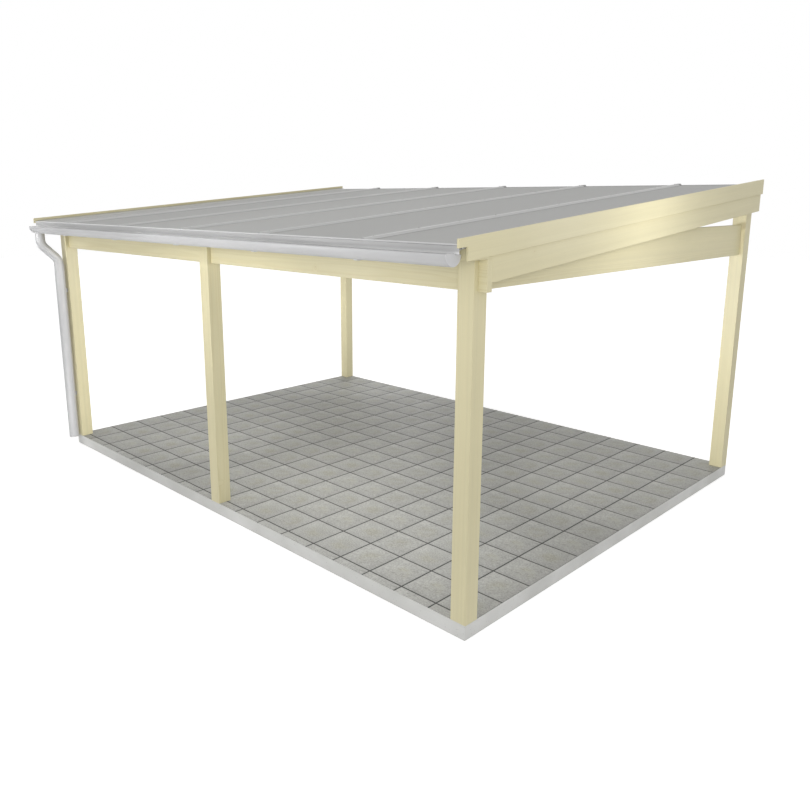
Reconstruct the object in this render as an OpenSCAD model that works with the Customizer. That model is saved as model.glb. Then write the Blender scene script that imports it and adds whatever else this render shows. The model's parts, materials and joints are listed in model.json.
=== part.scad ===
// Open sunroom frame: slotted timber posts and beams on a tiled floor, with a
// low-pitched glazed roof, a half-round gutter and a swan-neck downpipe.
// Origin: centre of the floor in plan, on the ground. +Y runs to the back.

/* [Floor] */
// Width of the floor from side to side
floor_w = 5376; // [4600:1:6400]
// Depth of the floor from front to back
floor_d = 3975; // [3100:1:4800]
// Thickness of the concrete base
base_t = 88; // [60:1:140]
// Thickness of the tiles on the base
tile_t = 12; // [6:1:20]

/* [Posts and beams] */
// Side of the square posts
post_w = 115; // [100:1:150]
// Wood left in front of the slot that takes a beam
cheek = 35; // [25:1:45]
// Thickness of the beams
beam_t = 45; // [35:1:54]
// Clear height from the floor to the beams
head_h = 2005; // [1800:1:2500]
// Depth of the front beam
front_beam_h = 180; // [140:1:220]
// Depth of the side beams
side_beam_h = 265; // [150:1:320]
// Depth of the back beam
back_beam_h = 180; // [140:1:220]
// How far a side beam is let into a back post
tenon = 20; // [10:1:30]

/* [Roof timbers] */
// Pitch of the roof in degrees
pitch = 4.9; // [3:0.1:7]
// Wood of a rafter over its seat, at the front of the posts
tail_h = 80; // [50:1:100]
// How far the rafter tails reach in front of the posts
tail_reach = 133; // [100:1:160]
// Depth of the outer rafters
gable_h = 215; // [180:1:250]
// Thickness of the outer rafters
gable_t = 60; // [45:1:75]
// Depth of the five rafters between them
rafter_h = 140; // [110:1:160]
// Thickness of the five rafters between them
rafter_t = 60; // [45:1:70]
// Spacing of the five rafters between them
bay = 1006; // [700:1:1060]
// Thickness of the verge boards
verge_t = 16; // [12:1:24]
// Depth of the verge boards
verge_h = 125; // [100:1:150]
// Height of a verge board above the underside of the sheets
verge_up = 58; // [46:1:70]
// Depth of a verge board over the gutter
verge_nose = 48; // [40:1:60]
// How far the verge boards reach in front of the posts
verge_reach = 227; // [215:1:245]
// Length of the cut that clears the gutter
verge_cut = 75; // [60:1:85]

/* [Glazing] */
// Thickness of the roof sheets
sheet_t = 16; // [10:1:25]
// Width of the foot of a glazing bar
bar_w = 60; // [50:1:70]
// Width of the top of a glazing bar
bar_top_w = 30; // [20:1:40]
// Height of a glazing bar over the sheets
bar_h = 16; // [10:1:20]
// Thickness of the web between two sheets
bar_web = 10; // [6:1:14]
// Width of the bar along each verge
edge_bar_w = 80; // [70:1:95]
// Height of the verge bar against its board
edge_bar_h = 20; // [12:1:24]
// Height of the verge bar's edge on the sheet
edge_bar_foot = 2; // [1:0.5:4]
// How far the eaves profile reaches in front of the posts
eaves_reach = 209; // [195:1:212]
// Height of the eaves profile below the underside of the sheets
eaves_drop = 25; // [12:1:30]
// Height of the eaves profile above the sheets
eaves_lip = 14; // [8:1:20]
// Metal thickness of the eaves and back profiles
profile_t = 3; // [2:0.5:4]
// Length of the legs that hold the sheet edges
profile_leg = 20; // [12:1:35]

/* [Gutter and downpipe] */
// Outer radius of the half-round gutter
gutter_r = 62.5; // [50:0.5:70]
// Metal thickness of the gutter
gutter_t = 2.5; // [2:0.5:4]
// Radius of the bead along the gutter's front edge
bead_r = 8; // [5:0.5:10]
// Distance of the gutter's centre line in front of the posts
gutter_out = 228; // [215:1:240]
// Gap from the eaves profile's lower edge down to the gutter's rim
gutter_gap = 2; // [1:1:10]
// Gap from each end of the gutter to the verge board
gutter_end_gap = 28; // [8:1:40]
// Width of a gutter bracket
bracket_w = 30; // [20:1:40]
// Metal thickness of a gutter bracket
bracket_t = 5; // [3:0.5:6]
// Height of a gutter bracket's arm
bracket_arm = 16; // [10:1:24]
// How far a gutter bracket's cradle runs forward under the gutter
bracket_toe = 20; // [10:1:40]
// Outer diameter of the swan neck
neck_d = 90; // [70:1:95]
// Wall of the swan neck, outlet and downpipe
pipe_wall = 3.5; // [2.5:0.5:5]
// Radius of the swan neck's bends, at the centre line
neck_bend_r = 110; // [90:1:130]
// Angle of the swan neck's slanting run from upright
neck_angle = 45; // [35:1:55]
// Height of the first bend below the gutter's rim
neck_start = 170; // [160:1:220]
// Step from the wall of a bend to the slanting pipe that enters it
neck_step = 1; // [0.5:0.5:1.5]
// Length by which the slanting pipe enters each bend
neck_entry = 3; // [2:1:5]
// Gap from the gutter's underside to the top of the swan neck
neck_gap = 8; // [4:1:15]
// Length by which the outlet enters the swan neck
outlet_lap = 40; // [25:1:48]
// Length by which the swan neck enters the downpipe
pipe_lap = 50; // [30:1:70]
// Gap from the downpipe to the post behind it
pipe_gap = 15; // [8:1:30]
// Height of the downpipe's open end over the ground
pipe_end_h = 100; // [20:1:200]
// Height over the floor of the lower holder behind the downpipe
holder_low = 450; // [200:1:800]
// Height over the floor of the upper holder behind the downpipe
holder_high = 1550; // [1000:1:1650]
// Height of a holder
holder_h = 40; // [25:1:60]
// Width of a holder's foot on the post
holder_foot_w = 24; // [20:1:40]
// Width of a holder's saddle behind the downpipe
holder_saddle_w = 60; // [40:1:80]
// Metal thickness of a holder
holder_t = 4; // [3:0.5:6]

/* [Fits] */
// Clearance between pieces that fit closely, such as a beam in its slot
close_fit = 0.3; // [0.1:0.1:1]
// Clearance between a sheet's edge and a bar's web
sheet_fit = 1; // [0.5:0.5:3]
// Clearance all round one pipe inside another
pipe_fit = 0.4; // [0.2:0.1:1]
// Gap between the top of a side beam and the sheets, where the pitch leaves least room
beam_top_gap = 1; // [1:1:10]

/* [Hidden] */
$fn = 64;

timber = "#dcd6b2";
sheet_grey = "#a6a7a4";
metal_grey = "#c6c7c6";
tile_grey = "#a3a19b";
concrete_grey = "#c3c2bf";

left = -1;
right = 1;
// Overshoot of a cutting shape past the faces it cuts
over = 1;
// Size of a shape that has to reach past the whole model
far = 20000;

// Distances v run back from the posts' front faces, heights run up from the ground
front_y = -floor_d / 2;
half_w = floor_w / 2;
floor_z = base_t + tile_t;
beam_z = floor_z + head_h;
front_beam_top = beam_z + front_beam_h;
roof_start_z = front_beam_top + tail_h;
function roof_z(v) = roof_start_z + v * tan(pitch);
// Distance up the slope to the distance v, and height of a cut of depth h square to the slope
function up_to(v) = v / cos(pitch);
function plumb(h) = h / cos(pitch);

slot_w = beam_t + 2 * close_fit;
front_beam_v = cheek + close_fit;
front_slot_end = cheek + slot_w;
back_post_v = floor_d - post_w;
back_slot_v = back_post_v + cheek;
back_beam_v = back_slot_v + close_fit;
back_beam_z = roof_z(back_beam_v) - back_beam_h;
side_slot_x = half_w - cheek - slot_w;
side_beam_top = min(beam_z + side_beam_h, roof_z(front_slot_end) - beam_top_gap);
gable_out = half_w + gable_t;
rafter_xs = [for (i = [-2:2]) i * bay];
post_inset = half_w - post_w;

// Webs that the sheets lie between, from the left: the right face of each web
// on a sheet's left, and the left face of each web on its right
webs_left = concat([bar_web - gable_out], [for (x = rafter_xs) x + bar_web / 2]);
webs_right = concat([for (x = rafter_xs) x - bar_web / 2], [gable_out - bar_web]);
sheet_front = up_to(-eaves_reach) + profile_t;
sheet_back = up_to(floor_d) - profile_t;
bar_front = sheet_front + profile_leg;
bar_back = sheet_back - profile_leg;

gutter_v = -gutter_out;
gutter_z = roof_z(-eaves_reach) - eaves_drop - gutter_gap;
gutter_half = gable_out - gutter_end_gap;
outlet_x = post_w / 2 - half_w;
neck_in_d = neck_d - 2 * pipe_wall;
outlet_d = neck_in_d - 2 * pipe_fit;
pipe_in_d = neck_d + 2 * pipe_fit;
pipe_d = pipe_in_d + 2 * pipe_wall;
pipe_v = -pipe_gap - pipe_d / 2;
neck_run = pipe_v - gutter_v;
bend_cut = neck_bend_r * tan(neck_angle / 2);
neck_top_z = gutter_z - gutter_r - neck_gap;
bend_1_z = gutter_z - neck_start;
bend_2_z = bend_1_z - neck_run / tan(neck_angle);
outlet_end_z = max(neck_top_z - outlet_lap, bend_1_z + bend_cut + close_fit);
pipe_top_z = bend_2_z - bend_cut - close_fit;

// A shape drawn in (v, height), given a thickness t to the right of x
module across(x, t) {
    translate([x, front_y, 0]) rotate([90, 0, 90]) linear_extrude(t) children();
}

// Moves to the plane of the sheets' undersides: x, up the slope, square to the slope
module on_roof() {
    translate([0, front_y, roof_start_z]) rotate([pitch, 0, 0]) children();
}

// A shape drawn in (x, height over the roof plane), run up the slope
module up_slope(start, end) {
    on_roof() translate([0, end, 0]) rotate([90, 0, 0]) linear_extrude(end - start) children();
}

// A shape drawn in (up the slope, height over the roof plane), centred on the roof's width
module along_eaves(length) {
    on_roof() translate([-length / 2, 0, 0]) rotate([90, 0, 90]) linear_extrude(length) children();
}

// Everything below the roof plane, less a gap
module under_roof(gap) {
    across(-far / 2, far)
        polygon([[-far, 0], [far, 0], [far, roof_z(far) - gap], [-far, roof_z(-far) - gap]]);
}

// Post between the heights of the floor and top, its front left corner at x and v
module post(x, v, top) {
    translate([x, front_y + v, floor_z]) cube([post_w, post_w, top - floor_z]);
}

// Left corner of a piece of width w whose outer face stands at out, on either side
function corner_x(side, out, w) = side == right ? out - w : -out;

// Slot through a post from side to side, open at the top
module cross_slot(v, z) {
    translate([-half_w - over, front_y + v, z]) cube([floor_w + 2 * over, slot_w, far]);
}

// Room for a side beam between the distances start and end
module side_slot(side, start, end) {
    translate([corner_x(side, side_slot_x + slot_w, slot_w), front_y + start, beam_z])
        cube([slot_w, end - start, side_beam_top + close_fit - beam_z]);
}

module slab() {
    color(concrete_grey) translate([-half_w, front_y, 0]) cube([floor_w, floor_d, base_t]);
}

module tile_bed() {
    color(tile_grey) translate([-half_w, front_y, base_t]) cube([floor_w, floor_d, tile_t]);
}

// Front corner post: a fork for the front beam, and a second one behind it for the side beam
module front_corner_post(side) {
    color(timber) difference() {
        post(corner_x(side, half_w, post_w), 0, front_beam_top);
        cross_slot(cheek, beam_z);
        side_slot(side, front_slot_end - over, post_w + over);
    }
}

// Front middle post: a fork whose back cheek stops under the middle rafter
module front_middle_post() {
    back_top = roof_z(front_slot_end) - plumb(rafter_h) - close_fit;
    color(timber) difference() {
        post(-post_w / 2, 0, front_beam_top);
        cross_slot(cheek, beam_z);
        translate([-post_w / 2 - over, front_y + front_slot_end - over, back_top])
            cube([post_w + 2 * over, post_w, far]);
    }
}

// Back corner post: cut to the slope, forked for the back beam, mortised for the side beam
module back_corner_post(side) {
    color(timber) difference() {
        intersection() {
            post(corner_x(side, half_w, post_w), back_post_v, roof_z(floor_d));
            under_roof(plumb(profile_t) + close_fit);
        }
        cross_slot(back_slot_v, back_beam_z);
        side_slot(side, back_post_v - over, back_post_v + tenon + close_fit);
    }
}

// Beam from side to side, reaching x = half on both sides
module long_beam(half, v, z, h) {
    color(timber) translate([-half, front_y + v, z]) cube([2 * half, beam_t, h]);
}

// Side beam: from the back of the front beam into the back post's mortise
module side_beam(side) {
    out = side_slot_x + close_fit + beam_t;
    color(timber) translate([corner_x(side, out, beam_t), front_y + front_slot_end, beam_z])
        cube([beam_t, back_post_v + tenon - front_slot_end, side_beam_top - beam_z]);
}

// Side view of a rafter: a birdsmouth over the front beam, the wood above it
// running on as the tail
module rafter_outline(depth, back_v) {
    drop = plumb(depth);
    polygon([
        [-tail_reach, front_beam_top],
        [-tail_reach, roof_z(-tail_reach)],
        [back_v, roof_z(back_v)],
        [back_v, roof_z(back_v) - drop],
        [front_slot_end, roof_z(front_slot_end) - drop],
        [front_slot_end, front_beam_top]
    ]);
}

module rafter(i) {
    color(timber) across(rafter_xs[i] - rafter_t / 2, rafter_t)
        rafter_outline(rafter_h, back_beam_v);
}

module outer_rafter(side) {
    color(timber) across(corner_x(side, gable_out, gable_t), gable_t)
        rafter_outline(gable_h, floor_d);
}

// Verge board: covers the outer rafter's upper part and stands over the sheets,
// its lower front corner cut back to clear the gutter
module verge_board(side) {
    nose_v = -verge_reach;
    cut_v = nose_v + verge_cut;
    color(timber) across(corner_x(side, gable_out + verge_t, verge_t), verge_t) polygon([
        [nose_v, roof_z(nose_v) + verge_up - verge_nose],
        [nose_v, roof_z(nose_v) + verge_up],
        [floor_d, roof_z(floor_d) + verge_up],
        [floor_d, roof_z(floor_d) + verge_up - verge_h],
        [cut_v, roof_z(cut_v) + verge_up - verge_h],
        [cut_v, roof_z(cut_v) + verge_up - verge_nose]
    ]);
}

module roof_sheet(i) {
    start_x = webs_left[i] + sheet_fit;
    color(sheet_grey) on_roof() translate([start_x, sheet_front, 0])
        cube([webs_right[i] - sheet_fit - start_x, sheet_back - sheet_front, sheet_t]);
}

// Glazing bar: a web between two sheets under a bevelled cap
module glazing_bar(i) {
    color(metal_grey) up_slope(bar_front, bar_back) translate([rafter_xs[i], 0]) polygon([
        [-bar_web / 2, 0],
        [bar_web / 2, 0],
        [bar_web / 2, sheet_t],
        [bar_w / 2, sheet_t],
        [bar_top_w / 2, sheet_t + bar_h],
        [-bar_top_w / 2, sheet_t + bar_h],
        [-bar_w / 2, sheet_t],
        [-bar_web / 2, sheet_t]
    ]);
}

// Verge bar: closes the outer sheet's edge and falls from the verge board to the sheet
module verge_bar(side) {
    color(metal_grey) mirror([side == left ? 1 : 0, 0, 0]) up_slope(bar_front, bar_back) polygon([
        [gable_out - bar_web, 0],
        [gable_out, 0],
        [gable_out, sheet_t + edge_bar_h],
        [gable_out - edge_bar_w, sheet_t + edge_bar_foot],
        [gable_out - edge_bar_w, sheet_t],
        [gable_out - bar_web, sheet_t]
    ]);
}

// Channel that holds the sheets' front edges, with a drip edge over the gutter
module eaves() {
    front = up_to(-eaves_reach);
    color(metal_grey) along_eaves(2 * (gable_out - close_fit)) {
        translate([front, -eaves_drop]) square([profile_t, eaves_drop + sheet_t + eaves_lip]);
        for (z = [-profile_t, sheet_t])
            translate([front, z]) square([profile_t + profile_leg, profile_t]);
    }
}

// Channel that closes the sheets' back edges; its lower leg stops between the outer rafters
module back_channel() {
    color(metal_grey) {
        along_eaves(2 * (gable_out - close_fit)) {
            translate([sheet_back, 0]) square([profile_t, sheet_t + profile_t]);
            translate([bar_back, sheet_t]) square([profile_t + profile_leg, profile_t]);
        }
        along_eaves(2 * (half_w - close_fit))
            translate([bar_back, -profile_t]) square([profile_t + profile_leg, profile_t]);
    }
}

// The lower half of a disc
module half_disc(r) {
    intersection() {
        circle(r = r);
        translate([-r, -r]) square([2 * r, r]);
    }
}

// Section of the gutter: a half-round trough, its front edge rolled into a bead
module gutter_section() {
    difference() {
        half_disc(gutter_r);
        circle(r = gutter_r - gutter_t);
    }
    translate([bead_r - gutter_r, 0]) circle(r = bead_r);
}

// Upright cylinder at the outlet, from the height z up to the gutter's rim
module at_outlet(d, z) {
    translate([outlet_x, front_y + gutter_v, z]) cylinder(d = d, h = gutter_z - z);
}

// Gutter with closed ends, and an outlet that drops into the swan neck
module gutter_run() {
    color(metal_grey) difference() {
        union() {
            across(-gutter_half, 2 * gutter_half) translate([gutter_v, gutter_z]) gutter_section();
            for (x = [-gutter_half, gutter_half - gutter_t])
                across(x, gutter_t) translate([gutter_v, gutter_z]) half_disc(gutter_r);
            difference() {
                at_outlet(outlet_d, outlet_end_z);
                across(outlet_x - outlet_d, 2 * outlet_d) translate([gutter_v, gutter_z])
                    circle(r = gutter_r - gutter_t);
            }
        }
        at_outlet(outlet_d - 2 * pipe_wall, outlet_end_z - over);
    }
}

// Cradle under the back of the gutter, with an arm and a plate on the rafter's tail
module gutter_bracket(i) {
    reach = gutter_out - tail_reach;
    seat_r = gutter_r + close_fit;
    arm_z = front_beam_top - gutter_z;
    color(metal_grey) across(rafter_xs[i] - bracket_w / 2, bracket_w)
        translate([gutter_v, gutter_z]) {
            difference() {
                union() {
                    intersection() {
                        circle(r = seat_r + bracket_t);
                        translate([-bracket_toe, -far]) square([far, far + arm_z + bracket_arm]);
                    }
                    translate([0, arm_z]) square([reach, bracket_arm]);
                }
                circle(r = seat_r);
            }
            translate([reach - bracket_t, arm_z])
                square([bracket_t, roof_z(-tail_reach) - front_beam_top - bracket_t]);
        }
}

// Ring section of a pipe from its outer diameter
module pipe_ring(d) {
    difference() {
        circle(d = d);
        circle(d = d - 2 * pipe_wall);
    }
}

// Bend in the (v, height) plane about its own centre, from the angle start
module neck_bend(start) {
    rotate([90, 0, 90]) rotate([0, 0, start]) rotate_extrude(angle = neck_angle)
        translate([neck_bend_r, 0]) pipe_ring(neck_d);
}

// The swan neck: two bends with upright ends, and a slanting pipe a step thinner
// that enters both
module neck() {
    color(metal_grey) translate([outlet_x, front_y, 0]) {
        translate([0, gutter_v, bend_1_z + bend_cut])
            linear_extrude(neck_top_z - bend_1_z - bend_cut) pipe_ring(neck_d);
        translate([0, gutter_v + neck_bend_r, bend_1_z + bend_cut]) neck_bend(180);
        translate([0, gutter_v, bend_1_z]) rotate([180 + neck_angle, 0, 0])
            translate([0, 0, bend_cut - neck_entry])
                linear_extrude(neck_run / sin(neck_angle) - 2 * (bend_cut - neck_entry))
                    pipe_ring(neck_d - 2 * neck_step);
        translate([0, pipe_v - neck_bend_r, bend_2_z - bend_cut]) neck_bend(0);
        translate([0, pipe_v, pipe_top_z - pipe_lap])
            linear_extrude(bend_2_z - bend_cut - pipe_top_z + pipe_lap) pipe_ring(neck_d);
    }
}

module rain_pipe() {
    length = pipe_top_z - pipe_end_h;
    color(metal_grey) translate([outlet_x, front_y + pipe_v, pipe_end_h]) difference() {
        cylinder(d = pipe_d, h = length);
        translate([0, 0, -over]) cylinder(d = pipe_in_d, h = length + 2 * over);
    }
}

// Holder behind the downpipe: a foot on the post, a stem and a saddle against the pipe
module pipe_holder(height) {
    seat_d = pipe_d + 2 * close_fit;
    color(metal_grey) translate([outlet_x, front_y, floor_z + height])
        linear_extrude(holder_h) difference() {
            union() {
                intersection() {
                    translate([0, pipe_v]) circle(d = seat_d + 2 * holder_t);
                    translate([-holder_saddle_w / 2, pipe_v])
                        square([holder_saddle_w, -pipe_v]);
                }
                translate([-holder_foot_w / 2, -holder_t]) square([holder_foot_w, holder_t]);
                translate([-holder_t, pipe_v]) square([2 * holder_t, -pipe_v]);
            }
            translate([0, pipe_v]) circle(d = seat_d);
        }
}

slab();  // foundation_slab
tile_bed();  // floor_tiles
front_corner_post(left);  // post_front_left
front_middle_post();  // post_front_middle
front_corner_post(right);  // post_front_right
back_corner_post(left);  // post_back_left
back_corner_post(right);  // post_back_right
long_beam(gable_out, front_beam_v, beam_z, front_beam_h);  // front_beam
long_beam(half_w, back_beam_v, back_beam_z, back_beam_h);  // back_beam
side_beam(left);  // side_beam_left
side_beam(right);  // side_beam_right
outer_rafter(left);  // outer_rafter_left
outer_rafter(right);  // outer_rafter_right
rafter(0);  // rafter_1
rafter(1);  // rafter_2
rafter(2);  // rafter_3
rafter(3);  // rafter_4
rafter(4);  // rafter_5
verge_board(left);  // verge_board_left
verge_board(right);  // verge_board_right
roof_sheet(0);  // roof_sheet_1
roof_sheet(1);  // roof_sheet_2
roof_sheet(2);  // roof_sheet_3
roof_sheet(3);  // roof_sheet_4
roof_sheet(4);  // roof_sheet_5
roof_sheet(5);  // roof_sheet_6
glazing_bar(0);  // glazing_bar_1
glazing_bar(1);  // glazing_bar_2
glazing_bar(2);  // glazing_bar_3
glazing_bar(3);  // glazing_bar_4
glazing_bar(4);  // glazing_bar_5
verge_bar(left);  // verge_bar_left
verge_bar(right);  // verge_bar_right
eaves();  // eaves_profile
back_channel();  // back_profile
gutter_run();  // gutter
gutter_bracket(0);  // gutter_bracket_1
gutter_bracket(1);  // gutter_bracket_2
gutter_bracket(2);  // gutter_bracket_3
gutter_bracket(3);  // gutter_bracket_4
gutter_bracket(4);  // gutter_bracket_5
neck();  // swan_neck
rain_pipe();  // downpipe
pipe_holder(holder_low);  // pipe_holder_lower
pipe_holder(holder_high);  // pipe_holder_upper
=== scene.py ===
"""Open timber sunroom frame on a tiled floor: finishes, fixings, light and camera."""
import json
import math
import random
from collections import namedtuple

import bmesh
import bpy
from mathutils import Matrix, Vector


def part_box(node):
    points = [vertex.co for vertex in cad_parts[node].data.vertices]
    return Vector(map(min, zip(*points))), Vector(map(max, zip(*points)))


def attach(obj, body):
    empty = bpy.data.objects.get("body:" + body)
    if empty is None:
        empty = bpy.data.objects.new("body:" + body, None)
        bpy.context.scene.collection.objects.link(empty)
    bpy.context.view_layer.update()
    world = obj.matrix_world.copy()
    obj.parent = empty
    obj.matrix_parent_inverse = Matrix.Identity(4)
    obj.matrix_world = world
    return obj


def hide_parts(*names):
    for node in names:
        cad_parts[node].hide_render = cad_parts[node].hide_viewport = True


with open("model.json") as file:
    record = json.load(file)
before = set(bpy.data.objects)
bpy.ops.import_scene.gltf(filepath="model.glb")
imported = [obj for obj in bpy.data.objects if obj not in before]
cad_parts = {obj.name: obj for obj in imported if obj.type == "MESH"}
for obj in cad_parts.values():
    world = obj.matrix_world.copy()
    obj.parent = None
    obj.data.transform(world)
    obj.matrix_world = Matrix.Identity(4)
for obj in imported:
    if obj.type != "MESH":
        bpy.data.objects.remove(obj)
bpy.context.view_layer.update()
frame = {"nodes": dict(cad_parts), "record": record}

SCENE = bpy.context.scene
NODES = frame["nodes"]
SLOT_OF = {part["node"]: part["material_slot"] for part in frame["record"]["subparts"]}

MM = 0.001
WELD = 0.05 * MM
FLAT = math.radians(0.5)
SHARP = math.radians(30)


# ---------------------------------------------------------------- shader helpers

# The Mix node's sockets for colours: its three inputs, then its output.
MIX_SHARE, MIX_FIRST, MIX_SECOND, MIX_RESULT = 0, 6, 7, 2


def tone(red, green, blue):
    """Linear colour of a finish given as display values from 0 to 255."""
    def linear(value):
        share = value / 255
        return share / 12.92 if share <= 0.04045 else ((share + 0.055) / 1.055) ** 2.4
    return (linear(red), linear(green), linear(blue), 1.0)


def feed(tree, socket, value):
    """Links a socket's output to an input, or sets the input's own value."""
    if isinstance(value, bpy.types.NodeSocket):
        tree.links.new(value, socket)
    else:
        socket.default_value = value


def add_node(tree, kind, inputs=None, **settings):
    """New shader node with its settings made and its inputs fed."""
    made = tree.nodes.new("ShaderNode" + kind)
    for name, value in settings.items():
        setattr(made, name, value)
    for name, value in (inputs or {}).items():
        feed(tree, made.inputs[name], value)
    return made


def maths(tree, operation, first, second=0.0):
    return add_node(tree, "Math", {0: first, 1: second}, operation=operation).outputs[0]


def vector_maths(tree, operation, first, second):
    return add_node(tree, "VectorMath", {0: first, 1: second}, operation=operation).outputs[0]


def length_of(tree, vector):
    return add_node(tree, "VectorMath", {0: vector}, operation="LENGTH").outputs["Value"]


def apart(tree, vector):
    """The X, Y and Z of a vector."""
    return add_node(tree, "SeparateXYZ", {0: vector}).outputs


def ranged(tree, value, reach, result, smooth=False):
    """Turns one range of a value into another, and stays level outside of it."""
    inputs = {
        "Value": value, "From Min": reach[0], "From Max": reach[1],
        "To Min": result[0], "To Max": result[1]}
    kind = "SMOOTHSTEP" if smooth else "LINEAR"
    return add_node(tree, "MapRange", inputs, interpolation_type=kind).outputs["Result"]


def mixed(tree, share, first, second, how="MIX"):
    """Second colour laid over the first one by a share from 0 to 1."""
    inputs = {MIX_SHARE: share, MIX_FIRST: first, MIX_SECOND: second}
    return add_node(tree, "Mix", inputs, data_type="RGBA", blend_type=how).outputs[MIX_RESULT]


def toned(tree, colour, strength):
    """Colour multiplied by a value near 1."""
    grey = add_node(tree, "CombineColor", {"Red": strength, "Green": strength, "Blue": strength})
    return mixed(tree, 1.0, colour, grey.outputs["Color"], "MULTIPLY")


def swung(tree, value, strength):
    """Value from 0 to 1 turned into a tone that swings about 1."""
    off_middle = maths(tree, "SUBTRACT", value, 0.5)
    return maths(tree, "ADD", maths(tree, "MULTIPLY", off_middle, strength), 1.0)


def noise(tree, place, scale, detail=2.0, roughness=0.5, distortion=0.0):
    """Cloudy value from 0 to 1; scale is its features to the metre."""
    inputs = {
        "Vector": place, "Scale": scale, "Detail": detail, "Roughness": roughness,
        "Distortion": distortion}
    return add_node(tree, "TexNoise", inputs).outputs["Fac"]


def stretched_noise(tree, place, stretch, detail=2.0, roughness=0.5, distortion=0.0):
    """Noise with its own number of features to the metre in each direction."""
    stretched = vector_maths(tree, "MULTIPLY", place, stretch)
    return noise(tree, stretched, 1.0, detail, roughness, distortion)


def effect(name, inputs, outputs):
    """New node group: its tree, the sockets it reads and the sockets it writes."""
    tree = bpy.data.node_groups.new(name, "ShaderNodeTree")
    for label, kind, value in inputs:
        socket = tree.interface.new_socket(label, in_out="INPUT", socket_type="NodeSocket" + kind)
        if value is not None:
            socket.default_value = value
    for label, kind in outputs:
        tree.interface.new_socket(label, in_out="OUTPUT", socket_type="NodeSocket" + kind)
    reads = tree.nodes.new("NodeGroupInput").outputs
    writes = tree.nodes.new("NodeGroupOutput").inputs
    return tree, reads, writes


def use(tree, group, inputs):
    """Places a shared effect in a material and returns what it puts out."""
    made = tree.nodes.new("ShaderNodeGroup")
    made.node_tree = group
    for name, value in inputs.items():
        feed(tree, made.inputs[name], value)
    return made.outputs


def new_finish(name):
    """Material with a Principled shader: the material, its tree and the shader's inputs."""
    made = bpy.data.materials.new(name)
    made.use_nodes = True
    shader = made.node_tree.nodes["Principled BSDF"]
    return made, made.node_tree, shader.inputs


def object_place(tree):
    return add_node(tree, "TexCoord").outputs["Object"]


def piece_place(tree, layer):
    """The coordinates that a piece's points carry in a layer of their own."""
    return add_node(tree, "Attribute", attribute_name=layer).outputs["Vector"]


def relief(tree, shader, height, depth):
    """Bump of a real depth in metres on a shader's Normal."""
    bump = add_node(tree, "Bump", {"Height": height, "Distance": depth, "Strength": 1.0})
    tree.links.new(bump.outputs["Normal"], shader["Normal"])


# ---------------------------------------------------------------- shared effects

PORES_PER_GRAIN = 0.25
PORE_CLUSTERS = 35.0
PORE_SHADE = 0.35


def make_patchiness():
    """Slow change of tone over a surface, as handling, dust and weather leave it."""
    tree, reads, writes = effect(
        "Patchiness",
        [("Place", "Vector", None), ("Patches per metre", "Float", 2.0), ("Strength", "Float", 0.05)],
        [("Tone", "Float"), ("Mask", "Float")])
    broad = noise(tree, reads["Place"], reads["Patches per metre"], detail=3.0, roughness=0.55)
    mask = ranged(tree, broad, (0.3, 0.7), (0.0, 1.0), smooth=True)
    tree.links.new(swung(tree, mask, reads["Strength"]), writes["Tone"])
    tree.links.new(mask, writes["Mask"])
    return tree


def make_grit():
    """Sand and pores of a cast or moulded surface."""
    tree, reads, writes = effect(
        "Grit",
        [("Place", "Vector", None), ("Grains per metre", "Float", 300.0), ("Strength", "Float", 0.1),
         ("Pores", "Float", 0.5)],
        [("Tone", "Float"), ("Height", "Float")])
    grains = noise(tree, reads["Place"], reads["Grains per metre"], detail=4.0, roughness=0.7)
    pore_scale = maths(tree, "MULTIPLY", reads["Grains per metre"], PORES_PER_GRAIN)
    cells = add_node(tree, "TexVoronoi", {"Vector": reads["Place"], "Scale": pore_scale})
    pit = ranged(tree, cells.outputs["Distance"], (0.08, 0.2), (1.0, 0.0), smooth=True)
    clustered = maths(tree, "GREATER_THAN", noise(tree, reads["Place"], PORE_CLUSTERS), 0.55)
    pit = maths(tree, "MULTIPLY", maths(tree, "MULTIPLY", pit, clustered), reads["Pores"])
    shade = maths(tree, "MULTIPLY", pit, PORE_SHADE)
    lit = swung(tree, grains, reads["Strength"])
    tree.links.new(maths(tree, "SUBTRACT", lit, shade), writes["Tone"])
    tree.links.new(maths(tree, "SUBTRACT", grains, pit), writes["Height"])
    return tree


def make_drawn_lines():
    """Fine lines that a die or a roller leaves along metal and plastic profiles; the place is
    given in lines, stretched across the profile."""
    tree, reads, writes = effect(
        "Drawn lines",
        [("Place", "Vector", None), ("Strength", "Float", 0.05)],
        [("Tone", "Float"), ("Height", "Float")])
    fine = noise(tree, reads["Place"], 1.0, detail=3.0, roughness=0.6)
    tree.links.new(swung(tree, fine, reads["Strength"]), writes["Tone"])
    tree.links.new(fine, writes["Height"])
    return tree


PATCHINESS = make_patchiness()
GRIT = make_grit()
DRAWN_LINES = make_drawn_lines()


# ---------------------------------------------------------------- colours

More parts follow.
